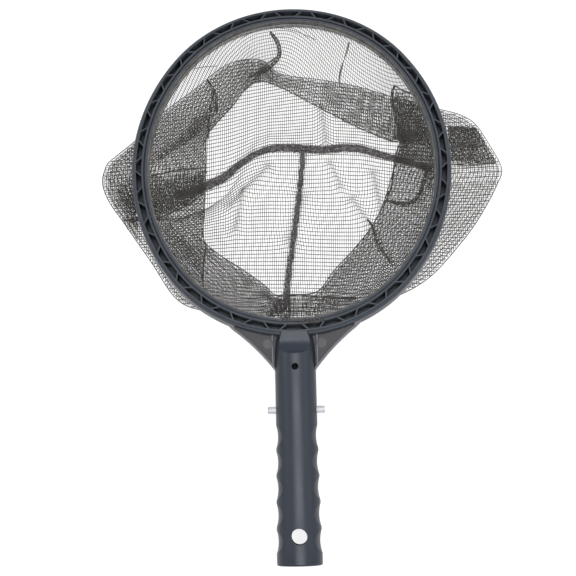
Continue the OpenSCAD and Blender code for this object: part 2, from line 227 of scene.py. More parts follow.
@dataclass(frozen=True)
class GussetPolypropylene(MouldedPolypropylene):
    """The same moulding on the gussets: browner in the recess, with painted highlight on its border
    lip and ejector marks.
    """

    name: str = "moulded_polypropylene_gusset"
    tone: str = "#222226"
    tone_worn: str = "#434247"
    painted_highlight: str = "#6c6c71"
    drift_mm: float = 6.0
    specular: float = 0.24
    roughness: float = 0.46
    # The web's normal, how far its face lies along that, and how far above the face the painted
    # highlight on the border lip comes in.
    up: Triple = (0.0, -0.109296, 0.994009)
    web_top_mm: float = 39.75
    lip_mm: Pair = (0.4, 1.5)
    lip_highlight_share: float = 0.8
    # The handle's axis is this far left of x = 0. A mark lies on either side of it, and its middle
    # is given as distances from that axis, from y = 0 and from z = 0.
    axis_mm: float = 8.5
    mark_at_mm: Triple = (18.3, 58.973, 33.505)
    mark_r_mm: float = 3.4
    mark_fade_mm: float = 0.35
    mark_highlight_share: float = 0.32

    def layers(self, tree: Tree, here: Socket) -> list[tuple[str, Node]]:
        """Add the painted highlight, a paler tone above the web's face and on the ejector marks."""
        height = add_node(tree, "VectorMath", {"operation": "DOT_PRODUCT", 1: self.up, 0: here})
        low, high = ((self.web_top_mm + rise) * MM for rise in self.lip_mm)
        lip = add_node(tree, "MapRange", {
            "From Min": low, "From Max": high, "To Max": self.lip_highlight_share,
            "Value": height.outputs["Value"],
        })
        place = add_node(tree, "VectorMath", {
            "operation": "ADD", 1: (self.axis_mm * MM, 0, 0), 0: here,
        })
        either_side = add_node(tree, "VectorMath", {"operation": "ABSOLUTE", 0: place})
        centre = tuple(v * MM for v in self.mark_at_mm)
        gap = add_node(tree, "VectorMath", {"operation": "DISTANCE", 1: centre, 0: either_side})
        mark = add_node(tree, "MapRange", {
            "From Min": (self.mark_r_mm + self.mark_fade_mm) * MM,
            "From Max": (self.mark_r_mm - self.mark_fade_mm) * MM, "To Max": self.mark_highlight_share,
            "Value": gap.outputs["Value"],
        })
        # Painted highlight: the paler tone on the border lip and the ejector marks stands in for
        # light catching them.
        either = add_node(tree, "Math", {"operation": "MAXIMUM", 0: lip, 1: mark})
        return [*super().layers(tree, here), (self.painted_highlight, either)]


@dataclass(frozen=True)
class NaturalNylon(Finish):
    """Unfilled natural nylon: milky and faintly clear, as thin clip arms are."""

    name: str = "natural_nylon_milky"
    tone: str = "#dcdce0"
    tone_cloud: str = "#c6c6cd"
    roughness: float = 0.28
    ior: float = 1.53
    cloud_mm: float = 3.0

    def shade(self, tree: Tree, here: Socket) -> Node:
        """Make a cloudy shader that lets some light through."""
        cloud = add_node(tree, "TexNoise", {
            "Scale": 1 / (self.cloud_mm * MM), "Detail": 2.0, "Vector": here,
        })
        colour = add_node(tree, "Mix", {
            "data_type": "RGBA", 6: srgb(self.tone_cloud), 7: srgb(self.tone), 0: cloud,
        })
        bump = add_node(tree, "Bump", {
            "Strength": 0.06, "Distance": self.relief_mm * MM, "Height": cloud,
        })
        return add_node(tree, "BsdfPrincipled", {
            "IOR": self.ior, "Roughness": self.roughness, "Transmission Weight": 0.6,
            "Base Color": colour.outputs[2], "Normal": bump,
        })


@dataclass(frozen=True)
class PolyesterThread(Finish):
    """Dyed polyester yarn: matt, a little fuzzy, its tone changing along and between threads."""

    name: str = "polyester_thread_grey"
    tone_dark: str = "#201e1c"
    tone_light: str = "#403d38"
    patch_mm: float = 6.0
    spread: Pair = (0.32, 0.68)
    twist_mm: float = 0.8
    roughness: float = 0.62

    def shade(self, tree: Tree, here: Socket) -> Node:
        """Make a matt shader with patches of tone and a fine twist."""
        patch = add_node(tree, "TexNoise", {
            "Scale": 1 / (self.patch_mm * MM), "Detail": 4.0, "Roughness": 0.7, "Vector": here,
        })
        twist = add_node(tree, "TexNoise", {
            "Scale": 1 / (self.twist_mm * MM), "Detail": 1.0, "Vector": here,
        })
        low, high = self.spread
        amount = add_node(tree, "MapRange", {"From Min": low, "From Max": high, "Value": patch})
        colour = add_node(tree, "Mix", {
            "data_type": "RGBA", 6: srgb(self.tone_dark), 7: srgb(self.tone_light), 0: amount,
        })
        bump = add_node(tree, "Bump", {
            "Strength": 0.35, "Distance": self.relief_mm * MM, "Height": twist,
        })
        return add_node(tree, "BsdfPrincipled", {
            "Roughness": self.roughness, "Sheen Weight": 0.15, "Sheen Roughness": 0.5,
            "Base Color": colour.outputs[2], "Normal": bump,
        })


# ---- placing


@dataclass(frozen=True)
class Placement:
    """Turns ring coordinates and ground coordinates, in millimetres, into the frame's metres."""

    lean: float = math.radians(6.825273)
    ring_height: float = 24.563935
    base: Pair = (8.5, -76.932263)

    def matrix(self) -> Matrix:
        """Return the matrix from the ring's own axes, in metres, to the frame's."""
        offset = Vector((-self.base[0], -self.base[1], self.ring_height)) * MM
        return Matrix.Translation(offset) @ Matrix.Rotation(-self.lean, 4, "X")

    def ring(self, points: Array) -> Array:
        """Place points given in the ring's own axes.

        Args:
            points: An array of (n, 3) in millimetres from the middle of the rim's top plane.

        Returns:
            The points in metres in the frame.
        """
        turn = np.array(Matrix.Rotation(-self.lean, 3, "X"))
        out = points @ turn.T + np.array([0, 0, self.ring_height])
        return (out - np.array([*self.base, 0])) * MM

    def ground(self, points: Array) -> Array:
        """Place points given in millimetres from the ground below the ring's middle."""
        return (points - np.array([*self.base, 0])) * MM


@dataclass(frozen=True)
class Oval:
    """The ring's four-arc line through the middle of its channel, in millimetres."""

    half_w: float = 109.9
    half_l: float = 126.9
    meet: Pair = (0.8, 0.6)

    def point(self, share: Array, offset: float) -> Array:
        """Find points round the oval, clockwise from the handle's side.

        Args:
            share: Shares of the whole way round.
            offset: Distance outward from the line.

        Returns:
            An array of (n, 2).
        """
        gap = (self.half_l - self.half_w) / (self.meet[0] + self.meet[1] - 1)
        end_c, side_c = self.meet[1] * gap, -self.meet[0] * gap
        end_r, side_r = self.half_l - end_c, self.half_w - side_c
        span = math.atan2(self.meet[0], self.meet[1])
        end_arc, side_arc = end_r * span, side_r * (math.pi / 2 - span)
        quarter = end_arc + side_arc
        s = np.mod(np.asarray(share, float), 1.0) * 4 * quarter
        half, run = np.floor_divide(s, 2 * quarter), np.mod(s, 2 * quarter)
        low, high = run < end_arc, run > 2 * quarter - end_arc
        last = math.pi - (2 * quarter - run) / end_r
        middle = span + (run - end_arc) / side_r
        angle = np.where(low, run / end_r, np.where(high, last, middle))
        radius = np.where(low | high, end_r, side_r) + offset
        cx = np.where(low | high, 0.0, -side_c)
        cy = np.where(low, -end_c, np.where(high, end_c, 0.0))
        x = cx - radius * np.sin(angle)
        y = cy - radius * np.cos(angle)
        flip = np.where(half > 0.5, -1.0, 1.0)
        return np.stack([x * flip, y * flip], -1)


PLACE = Placement()
OVAL = Oval()


# ---- threads


class ThreadBundle:
    """Collects closed threads of a few sides each into one mesh."""

    # A direction that no thread follows, from which each thread's sides are turned.
    aside = np.array([0.21, 0.13, 0.97])

    def __init__(self, sides: int = 3) -> None:
        """Start an empty bundle of threads with that many sides."""
        self.sides = sides
        self.verts: list[Array] = []
        self.quads: list[Array] = []
        self.caps: list[list[int]] = []
        self.count = 0

    def add(self, path: Array, radius: float) -> None:
        """Add one thread.

        Args:
            path: Points in metres, an array of (n, 3).
            radius: The radius in millimetres.
        """
        n, k = len(path), self.sides
        step = np.gradient(path, axis=0)
        step /= np.linalg.norm(step, axis=1, keepdims=True) + TINY
        side = np.cross(step, self.aside)
        side /= np.linalg.norm(side, axis=1, keepdims=True) + TINY
        up = np.cross(side, step)
        angles = 2 * math.pi * (np.arange(k) + 0.25) / k
        ring = (side[:, None, :] * np.cos(angles)[None, :, None]
                + up[:, None, :] * np.sin(angles)[None, :, None]) * radius * MM
        self.verts.append((path[:, None, :] + ring).reshape(-1, 3))
        base = self.count
        i = np.arange(n - 1)[:, None] * k
        j = np.arange(k)[None, :]
        a = base + i + j
        b = base + i + (j + 1) % k
        self.quads.append(np.stack([a, b, b + k, a + k], -1).reshape(-1, 4))
        self.caps.append(list(range(base + k - 1, base - 1, -1)))
        self.caps.append(list(range(base + (n - 1) * k, base + n * k)))
        self.count += n * k

    def build(self, name: str, material: Material) -> Piece:
        """Make the mesh object.

        Args:
            name: The piece's name.
            material: Its finish.

        Returns:
            The new object, linked to the scene.
        """
        mesh = bpy.data.meshes.new(name)
        faces = np.concatenate(self.quads).tolist() + self.caps
        mesh.from_pydata(np.concatenate(self.verts).tolist(), [], faces)
        mesh.polygons.foreach_set("use_smooth", [True] * len(mesh.polygons))
        mesh.materials.append(material)
        mesh.update()
        return new_object(name, mesh)


def smooth_loop(stations: Array, at: Array) -> Array:
    """Read a closed table of stations on a smooth curve.

    Args:
        stations: Rows of position along the loop, then the values; the last row closes the loop.
        at: Positions along the loop.

    Returns:
        The values at those positions.
    """
    keys, values = stations[:-1, 0], stations[:-1, 1:]
    total, n = stations[-1, 0], len(keys)
    t = np.mod(at, total)
    i = np.searchsorted(keys, t, side="right") - 1
    spans = np.diff(stations[:, 0])
    gap0, gap1, gap2 = (spans[(i + d) % n][:, None] for d in (-1, 0, 1))
    p0, p1, p2, p3 = (values[(i + d) % n] for d in (-1, 0, 1, 2))
    f = (t - keys[i])[:, None] / gap1
    m1 = ((p2 - p1) / gap1 * gap0 + (p1 - p0) / gap0 * gap1) / (gap0 + gap1) * gap1
    m2 = ((p3 - p2) / gap2 * gap1 + (p2 - p1) / gap1 * gap2) / (gap1 + gap2) * gap1
    blend = 3 * f ** 2 - 2 * f ** 3
    return p1 + blend * (p2 - p1) + (f ** 3 - 2 * f ** 2 + f) * m1 + (f ** 3 - f ** 2) * m2


# Parts of a ripple: its waves across and along, and how far the seed turns it.
RIPPLES = ((0.9, 0.35, 1.0), (-0.45, 0.8, 2.1), (0.34, -1.02, 3.7))


def ripple(x: Array, y: Array, seed: float, size: float) -> Array:
    """Give a smooth wandering value from -1 to 1 over the ground, with ripples about that size."""
    w = 2 * math.pi / size
    return sum(np.sin(w * (a * x + b * y) + turn * seed) for a, b, turn in RIPPLES) / len(RIPPLES)


def lengths(line: Array) -> Array:
    """Return the running length along a line."""
    return np.concatenate([[0], np.cumsum(np.linalg.norm(np.diff(line, axis=0), axis=1))])


def at_height(line: Array, height: float | Array) -> Array:
    """Give a flat line (n, 2) a height, or one for each point."""
    return np.column_stack([line[:, :2], np.broadcast_to(height, len(line))])


def smooth_line(points: tuple | Array, step: float, passes: int) -> Array:
    """Round the corners of a line and space its points evenly.

    Args:
        points: Rows of x, y and other values, in millimetres.
        step: Distance between the new points.
        passes: How many times each point is averaged with its neighbours.

    Returns:
        The new points, with the same ends.
    """
    points = np.asarray(points, float)
    run = lengths(points[:, :2])
    at = np.linspace(0, run[-1], max(3, int(run[-1] / step) + 1))
    line = np.column_stack([np.interp(at, run, column) for column in points.T])
    for _ in range(passes):
        line[1:-1] = (line[:-2] + 2 * line[1:-1] + line[2:]) / 4
    return line


def sideways(line: Array) -> Array:
    """Return the level unit vectors square to a line, one for each point."""
    step = np.gradient(line[:, :2], axis=0)
    step /= np.linalg.norm(step, axis=1, keepdims=True) + TINY
    return np.column_stack([-step[:, 1], step[:, 0]])


def inside_of(points: Array, outline: Array) -> Array:
    """Tell which points lie inside a closed outline."""
    x, y = points[:, 0], points[:, 1]
    inside = np.zeros(len(points), bool)
    for (x1, y1), (x2, y2) in zip(outline, np.roll(outline, -1, axis=0)):
        if y1 != y2:
            inside ^= ((y1 > y) != (y2 > y)) & (x < (x2 - x1) * (y - y1) / (y2 - y1) + x1)
    return inside


def runs_of(mask: Array) -> list[tuple[int, int]]:
    """Return the first and last + 1 index of each run of true values."""
    edges = np.flatnonzero(np.diff(np.concatenate([[0], mask.astype(int), [0]])))
    return list(zip(edges[::2], edges[1::2]))


# ---- bag


@dataclass(frozen=True)
class Crease:
    """A soft lifted fold of the lowest layer, from one ground point to another, in millimetres."""

    start: Pair
    end: Pair
    width: float = 6.0
    lift: float = 2.2
    drag: float = 1.8
    gather: float = 0.5

    def towards(self, points: Array) -> Array:
        """Return the way from each point to the nearest place on the crease."""
        a, b = np.array(self.start), np.array(self.end)
        along = np.clip(((points - a) @ (b - a)) / ((b - a) @ (b - a)), 0, 1)
        return a + along[:, None] * (b - a) - points

    def weight(self, points: Array) -> Array:
        """Return how strongly the crease holds each point, from 0 to 1."""
        gap = np.linalg.norm(self.towards(points), axis=1)
        return np.exp(-((gap / self.width) ** 2))

    def pinch(self, points: Array) -> Array:
        """Return the shift that gathers threads at the crease, where the cloth stands steep."""
        return self.towards(points) * self.weight(points)[:, None] * self.gather

    def direction(self) -> Array:
        """Return the unit vector from start to end."""
        way = np.array(self.end) - np.array(self.start)
        return way / np.linalg.norm(way)


@dataclass(frozen=True)
class Ply:
    """An extra folded ply of mesh that lies on the bag."""

    outline: tuple[Pair, ...]
    turn: float
    height: float


@dataclass(frozen=True)
class Roll:
    """An edge where the mesh is rolled on itself into a cord."""

    line: tuple[Pair, ...]
    width: float
    threads: int
    height: float


@dataclass(frozen=True)
class Drape:
    """How the cross threads of the lowest layer bend, in millimetres.

    Near the bottom seam they follow it; above it they slope down on both sides of a peak, and
    below it they slope one way.
    """

    seam_y: float = 15.0
    follow: float = 0.75
    reach: float = 26.0
    turn_over: float = 12.0
    peak_x: float = 24.0
    slopes: Triple = (0.13, -0.10, -0.045)
    flat_from: float = 52.0
    flat_over: float = 30.0

    def shift(self, x: Array, y: Array, seam: Array) -> Array:
        """Find how far each point moves along y.

        Args:
            x: Ground x of the points.
            y: Ground y of the points.
            seam: Ground y of the seam at each of them.

        Returns:
            The shifts.
        """
        near = np.exp(-np.abs(y - seam) / self.reach)
        above = np.clip((y - seam) / self.turn_over, 0, 1)
        left, right, below = self.slopes
        slope = np.where(x < self.peak_x, left, right) * (x - self.peak_x) * above
        slope += below * x * (1 - above)
        slope *= np.where(x > self.flat_from, np.exp(-(x - self.flat_from) / self.flat_over), 1)
        return (seam - self.seam_y) * self.follow * near + slope * (1 - near)


@dataclass
class MeshBag:
    """The slack tube of mesh: from the hem in to a fold, out to another, and in to the seam."""

    round_mm: float = 700.0
    pitch_round: float = 1.6
    pitch_depth: float = 2.84
    depth_mm: float = 150.0
    thread_depth_r: float = 0.205
    thread_round_r: float = 0.265
    floor_depth_r: float = 0.22
    floor_round_r: float = 0.31
    fold_r: Pair = (0.42, 0.36)
    roll_r: float = 0.3
    # The share of the cut rectangle that the threads' faces amount to, as the mesh is open.
    area_share: float = 0.62
    hem_offset: float = -6.6
    hem_drop: float = -7.6
    seam_share: float = 0.0065
    # Heights of the hanging wall's foot, the middle layer and the lowest layer.
    layer_z: Triple = (2.9, 1.75, 0.6)
    reach: float = 165.0
    wall_step: float = 1.5
    tube_step: float = 4.2
    floor_step: float = 2.4
    drape: Drape = Drape()
    # Each row: way round from the side seam, inner fold x and y, outer fold x and y.
    folds: tuple[tuple[float, ...], ...] = (
        (0, -5, -93, -6, -108), (16, -14, -93, -20, -108), (34, -20, -87, -38, -108),
        (62, -35, -75, -61, -104), (95, -56, -60, -85.5, -93), (120, -65, -50, -103, -66),
        (145, -64.8, -32, -122.8, -36.2), (163, -64.3, -18, -136.4, -15),
        (165, -64.2, -16.2, -137.4, -12.6), (191, -63.4, 6, -137.6, 9),
        (193.5, -63.3, 8, -136.8, 11.4), (196, -63.2, 10.2, -134.6, 13.4),
        (222, -62.5, 30, -113.5, 31.5), (246, -56, 40, -97, 49.5), (272, -43.7, 53.5, -72, 69),
        (298, -33, 68, -47.2, 88.8), (325, -22, 74, -22, 92), (350, -7.5, 68.5, -7.3, 80),
        (378, 18, 53, 22.7, 74.1), (410, 50, 34, 51.1, 67.4), (440, 72, 23, 76, 58.5),
        (470, 80, 22, 105, 49), (492, 81, 20.5, 130, 40.2), (495.5, 80.8, 19.5, 133.5, 37.8),
        (512, 79, 13, 145, 20), (526, 76.8, 5.5, 153.8, -0.5), (529.5, 76, 3, 153.9, -4),
        (538, 73.5, -4.4, 150.5, -12), (560, 67, -24, 139.5, -32), (590, 57.4, -43, 121, -57.5),
        (620, 44, -60, 92.5, -86), (652, 28, -77, 52, -103), (678, 15, -92, 20, -108),
        (700, -5, -93, -6, -108),
    )
    # How the bottom seam rises across the bag: x and y on the ground.
    seam_rise: tuple[Pair, ...] = (
        (-165, -12), (-82, -12), (-62, -8), (-49, -2), (-38, 8), (-27, 16), (-16, 20), (8, 19.5),
        (40, 19), (52, 17.5), (65, 12.5), (91, 4.5), (103, 0), (165, 0),
    )
    creases: tuple[Crease, ...] = (
        Crease((-46, -24), (-19, 4)), Crease((-42, -42), (-36, -14), 5, 1.6, 1.2),
        Crease((26, 22), (23.5, 48), 5, 2.6, 3.0), Crease((36, -12), (29, 5), 5, 2.0, 1.6),
        Crease((57, -43), (45, -24), 6, 2.4, 2.2), Crease((64, -30), (60, -4), 6, 1.8, 1.5),
        Crease((-2, -50), (6, -20), 9, 1.2, 0.8),
    )
    plies: tuple[Ply, ...] = (
        Ply(((-61, 60), (-61, 43.5), (-64, 35), (-75, 27), (-93.5, 14), (-105, 8), (-105, 16),
            (-90, 27), (-78, 38), (-69, 50)), 38, 3.5),
        Ply(((-61.5, 50), (-63, 37), (-76, 27), (-96, 12), (-97, 16), (-80, 32), (-70, 46)),
            62, 3.9),
        Ply(((-61.5, 4), (-63, -4), (-64, -13.5), (-67.5, -18), (-78, -24), (-89.5, -29),
            (-101, -34), (-106, -22), (-107, -10.5), (-107, -1), (-93.5, 1.5), (-78.5, 4.5)),
            92, 3.5),
        Ply(((-61.5, 3), (-63, -4), (-64, -13.5), (-78, -23.5), (-100.5, -33), (-105, -24),
            (-106, -6), (-90, -2), (-76, 0)), 68, 4.1),
        Ply(((-62, 2), (-64.5, -14), (-78.5, -23.5), (-100, -33), (-106, -20), (-106, -8),
            (-90, -3), (-76, 0)), 20, 4.5),
        Ply(((-62, -1), (-64.5, -14), (-78.5, -23), (-100, -32), (-104, -21), (-90, -15),
            (-76, -7)), 115, 4.8),
        Ply(((-92, -33), (-78.5, -47), (-64, -59.5), (-65, -85), (-75, -77), (-85, -63.5),
            (-94, -48)), 128, 3.6),
        Ply(((-89, -40), (-76, -53), (-66, -66), (-66, -76), (-76, -68), (-86, -52)), 112, 4.0),
        Ply(((-113, 31), (-124, 20), (-132, 12), (-136.5, 3), (-136, -12), (-127, -31),
            (-113, -52)), 25, 2.4),
        Ply(((-113, 4), (-113, -37), (-119, -30), (-124, -22), (-130, -10), (-127, -2)), 70, 2.7),
        Ply(((-113, -3), (-113, -40), (-121, -33), (-128, -22), (-131, -12), (-124, -5)), 110, 3.3),
        Ply(((-113, -12), (-112, -44), (-118, -36), (-124, -26), (-122, -14)), 8, 3.6),
        Ply(((-114, -8), (-114, -36), (-119, -27), (-125, -19), (-127, -12)), 35, 3.1),
        Ply(((116, 33), (137.5, 31), (143.5, 18.5), (150, 3), (131, 2), (116, 4)), 15, 2.7),
        Ply(((116, 33), (137.5, 31), (141, 22), (134, 8), (128, 14), (122, 25), (116, 26)),
            70, 3.1),
        Ply(((116, 32), (137.5, 30), (145, 16), (150, 4), (131, 3), (116, 5)), 105, 3.4),
        Ply(((116, 24), (124, 27), (132, 12), (146, 6), (150, 4), (131, 3), (116, 5)), 50, 3.7),
        Ply(((116, 33), (137.5, 31), (147, 12), (150, 4), (131, 3), (116, 5)), 132, 3.9),
        Ply(((116, 33), (137.5, 31), (143, 20), (136, 10), (116, 12)), -18, 4.2),
        Ply(((116, 33), (137.5, 31), (139, 27), (116, 28.5)), 4, 4.5),
        Ply(((75.5, 59.5), (78.5, 66.5), (82, 62.5), (92.5, 59), (98.5, 48), (104, 32), (106, 13),
            (105, -5), (92.5, -1), (78, 4), (76.5, 11.5), (81, 20), (80, 29.5), (77.5, 45.5)),
            84, 3.5),
        Ply(((77, 58), (80, 64), (84, 61.5), (92, 57), (98, 47), (103.5, 31), (105.5, 13), (94, 19),
            (81, 21), (80, 31), (78, 45)), 60, 4.0),
        Ply(((77, 57), (83, 60), (97, 46), (103, 30), (105, 17), (92, 20), (81, 22), (80, 31),
            (78, 45)), 20, 4.3),
        Ply(((80.5, 21.5), (93.5, 19.5), (106.5, 14.5), (106, -8), (99.5, -13.5), (97, -2.5),
            (94, 2), (78, 5), (77, 11.5)), 84, 4.4),
        Ply(((97, 0.5), (104, -3), (103, -17), (94, -27), (84, -30), (68, -27), (70, -23.5),
            (82, -26), (90, -22.5), (95, -12.5)), 50, 3.7),
        Ply(((57, -43), (62, -46), (65, -56), (72, -68), (74, -76), (69, -74), (61, -62),
            (57, -52)), 110, 3.6),
        Ply(((-5.5, -94), (25.5, -96.5), (44.5, -97.5), (36, -103), (18, -107), (3.5, -111),
            (-5, -111)), -6, 3.5),
        Ply(((-11, 91), (-7.5, 93), (-11.5, 87), (-17.5, 82), (-26, 77), (-31, 73), (-36, 74),
            (-24, 81)), 40, 4.2),
        Ply(((-60, 72), (-56.5, 66), (-54.5, 59), (-55, 48), (-61, 43), (-59, 56)), 80, 3.6),
    )
    rolls: tuple[Roll, ...] = (
        Roll(((-14, 113.5), (-12.5, 111), (-9, 106), (-7, 99), (-7.5, 92.5), (-11.5, 87),
            (-17.5, 82), (-24.5, 78)), 2.6, 8, 5.0),
        Roll(((-11, 91.5), (-17.5, 86), (-24, 80.5), (-29, 77)), 1.1, 3, 4.6),
        Roll(((-62.5, 76), (-59.5, 72), (-56.5, 66), (-54.5, 59), (-55, 50)), 1.4, 4, 4.4),
        Roll(((-57, 65.5), (-59, 56.5), (-61, 43.5), (-61.5, 27.5)), 1.0, 3, 4.4),
        Roll(((45.5, 103.5), (43, 93.5), (40.5, 87), (38, 79), (37, 70.5)), 0.5, 2, 3.6),
        Roll(((-9, 117), (1, 115), (10, 111.5), (20.5, 106)), 0.35, 1, 4.5),
        Roll(((-72.5, 85), (-64.5, 86.5), (-54, 87)), 0.35, 1, 3.8),
        Roll(((-5.5, -93.5), (7.5, -94.5), (25.5, -96.5), (44.5, -97.5)), 1.2, 4, 4.0),
        Roll(((78.5, 66.5), (75.5, 59.5), (76.5, 49), (79, 35), (80.5, 21.5)), 1.8, 5, 4.6),
        Roll(((80.5, 21.5), (77, 11.5), (75, 3.5), (74, -8), (70.5, -19.5), (66, -29.5)),
            0.8, 3, 4.4),
        Roll(((78.5, 66.5), (82, 62.5), (92.5, 59), (98.5, 48)), 1.0, 3, 4.6),
        Roll(((68, -24.5), (75.5, -26), (82, -28), (87.5, -26.5), (92.5, -21), (96.5, -10.5),
            (100, 0.5)), 2.2, 7, 4.4),
        Roll(((54, -38), (57.5, -43), (59, -51), (61, -58.5), (66, -65.5), (71, -74)), 1.5, 4, 4.0),
        Roll(((119.5, 31.5), (137.5, 30)), 1.6, 4, 3.4),
        Roll(((116, 3), (131, 1.5), (150, 3)), 0.9, 3, 2.8),
        Roll(((-61.8, 5), (-78.5, 5), (-93.5, 2), (-107, -1)), 0.9, 3, 4.4),
        Roll(((-63, -56), (-65, -66), (-65.5, -78), (-65, -88)), 0.9, 3, 3.9),
        Roll(((-64.5, -15), (-78, -24.5), (-89.5, -29.5), (-101, -34.5)), 0.9, 3, 4.4),
    )

    def outline(self, u: Array) -> tuple[Array, ...]:
        """Find the hem and fold points of the depth threads.

        Args:
            u: Ways round the bag in millimetres.

        Returns:
            Hem points (n, 3), and inner and outer fold points (n, 2), on the ground.
        """
        values = smooth_loop(np.array(self.folds, float), u)
        xy = OVAL.point(u / self.round_mm + self.seam_share, self.hem_offset)
        hem = PLACE.ring(at_height(xy, self.hem_drop)) / MM + np.array([*PLACE.base, 0])
        return hem, values[:, 0:2], values[:, 2:4]

    def surface(self, u: Array) -> list[Array]:
        """Lay each depth thread from the outer fold in to the inner fold and up to the hem.

        Args:
            u: Ways round the bag in millimetres.

        Returns:
            One array of (n, 3) in millimetres for each thread, in order from the outer fold.
        """
        foot, middle, _ = self.layer_z
        lines = []
        for hem, inner, outer in zip(*self.outline(u)):
            n = max(3, int(np.linalg.norm(inner - outer) / self.wall_step))
            t = np.linspace(0, 1, n)[:, None]
            lying = at_height(outer + (inner - outer) * t, middle)
            # The wall leaves the ground slowly and steepens towards the hem.
            n = max(4, int(np.linalg.norm(hem[:2] - inner) / self.wall_step) + 8)
            t = np.linspace(0, 1, n) ** 0.8
            rise = foot + (hem[2] - foot) * t ** 3.5
            wall = at_height(inner + (hem[:2] - inner) * t[:, None], rise)
            lines.append(self.slacken(np.concatenate([lying, wall])))
        return lines

    def slacken(self, line: Array) -> Array:
        """Wander a thread a little between its held ends, as slack cloth does."""
        x, y, z = line.T
        at = np.arange(len(line))
        ease = 0.5 * np.clip(at / 8, 0, 1) * np.clip((len(line) - 1 - at) / 6, 0, 1)
        dx, dy = ease * ripple(x, y, 1.3, 38), ease * ripple(x, y, 4.1, 46)
        return np.column_stack([x + dx, y + dy, z])

    def settle(self, line: Array) -> Array:
        """Bend a thread of the lowest layer with the seam and lift it over the creases.

        Args:
            line: Straight ground points, (n, 2), in millimetres.

        Returns:
            Ground points and heights, (n, 3).
        """
        x, y = line.T
        dy = self.drape.shift(x, y, np.interp(x, *np.array(self.seam_rise).T))
        moved = np.column_stack([
            x + 0.5 * ripple(x, y, 1.3, 40), y + dy + 0.45 * ripple(x, y, 4.1, 52),
        ])
        lift = self.layer_z[2] + 0.25 * (1 + ripple(x, y, 2.2, 30))
        for crease in self.creases:
            weight = crease.weight(moved)
            lift = lift + crease.lift * weight
            drag = crease.drag * weight[:, None] * crease.direction()
            moved = moved + drag + crease.pinch(moved)
        return at_height(moved, lift)

    def floor(self, bundle: ThreadBundle) -> None:
        """Weave the lowest layer, which lies flat inside the outer fold."""
        _, _, outer = self.outline(np.arange(0, self.round_mm, 4.0))
        t = np.arange(-self.reach, self.reach, self.floor_step)
        for pitch, radius, lengthwise in ((self.pitch_round, self.floor_depth_r, True),
                                          (self.pitch_depth, self.floor_round_r, False)):
            lift = np.array([0, 0, 0.0 if lengthwise else 0.15])
            for k in range(-int(self.reach / pitch), int(self.reach / pitch) + 1):
                fixed = np.full(len(t), k * pitch)
                path = self.settle(np.column_stack([fixed, t] if lengthwise else [t, fixed]))
                for first, last in runs_of(inside_of(path[:, :2], outer)):
                    if last - first > 2:
                        bundle.add(PLACE.ground(path[first:last] + lift), radius)

    def tube(self, bundle: ThreadBundle) -> None:
        """Weave the tube: depth threads, and threads round it at even depths."""
        count = int(self.round_mm / self.pitch_round)
        lines = self.surface(np.arange(count) * self.round_mm / count)
        runs = [lengths(line) for line in lines]
        for line, run in zip(lines, runs):
            at = np.linspace(0, run[-1], max(4, int(run[-1] / self.tube_step)))
            path = np.column_stack([np.interp(at, run, column) for column in line.T])
            bundle.add(PLACE.ground(path), self.thread_depth_r)
        # Two threads more than the count, so that a round thread closes past its start.
        order = [i % count for i in range(count + 2)]
        longest = max(run[-1] for run in runs)
        for k in range(1, int(longest / self.pitch_depth) + 1):
            level = k * self.pitch_depth
            mask = np.array([runs[i][-1] >= level for i in order])
            at = np.array([[np.interp(level, runs[i], column) for column in lines[i].T]
                           for i in order])
            for first, last in runs_of(mask):
                if last - first >= 6:
                    path = at[first:last]
                    keep = np.unique(np.append(np.arange(0, len(path), 3), len(path) - 1))
                    bundle.add(PLACE.ground(path[keep]), self.thread_round_r)

    def fold_edges(self, bundle: ThreadBundle) -> None:
        """Lay the thread that each fold turns on, which gives the fold its dark crisp line."""
        _, inner, outer = self.outline(np.append(np.arange(0, self.round_mm, 3.0), 0.0))
        for line, height, radius in ((inner, self.layer_z[0] + 0.3, self.fold_r[0]),
                                     (outer, self.layer_z[1], self.fold_r[1])):
            bundle.add(PLACE.ground(at_height(line, height)), radius)

    def lay_ply(self, bundle: ThreadBundle, ply: Ply) -> None:
        """Weave one ply inside its outline, in both thread directions."""
        outline = np.array(ply.outline)
        centre = (outline.min(0) + outline.max(0)) / 2
        reach = np.linalg.norm(outline - centre, axis=1).max() + 2
        angle = math.radians(ply.turn)
        one = np.array([math.cos(angle), math.sin(angle)])
        two = np.array([-math.sin(angle), math.cos(angle)])
        t = np.arange(-reach, reach, 1.5)
        for pitch, along, across, radius, lift in (
                (self.pitch_round, one, two, self.thread_depth_r, 0.0),
                (self.pitch_depth, two, one, self.thread_round_r, 0.2)):
            for k in range(-int(reach / pitch), int(reach / pitch) + 1):
                line = centre + t[:, None] * along + k * pitch * across
                line = line + 0.8 * ripple(*line.T, ply.turn, 30)[:, None] * across
                for first, last in runs_of(inside_of(line, outline)):
                    if last - first > 1:
                        path = line[first:last][:: 1 if last - first < 4 else 2]
                        bundle.add(PLACE.ground(at_height(path, ply.height + lift)), radius)

    def lay_roll(self, bundle: ThreadBundle, roll: Roll) -> None:
        """Twist threads round a fold edge into a cord that thins at its ends."""
        line = smooth_line(roll.line, 1.5, 6)
        side, run = sideways(line), lengths(line)
        thin = 0.35 + 0.65 * np.sqrt(np.clip(np.minimum(run, run[-1] - run) / 8, 0, 1))
        for k in range(roll.threads):
            turn = 2 * math.pi * k / roll.threads + run / 9
            out = side * (roll.width / 2 * np.cos(turn) * thin)[:, None]
            up = roll.height + roll.width / 2 * np.sin(turn) * thin
            bundle.add(PLACE.ground(at_height(line + out, up)), self.roll_r)

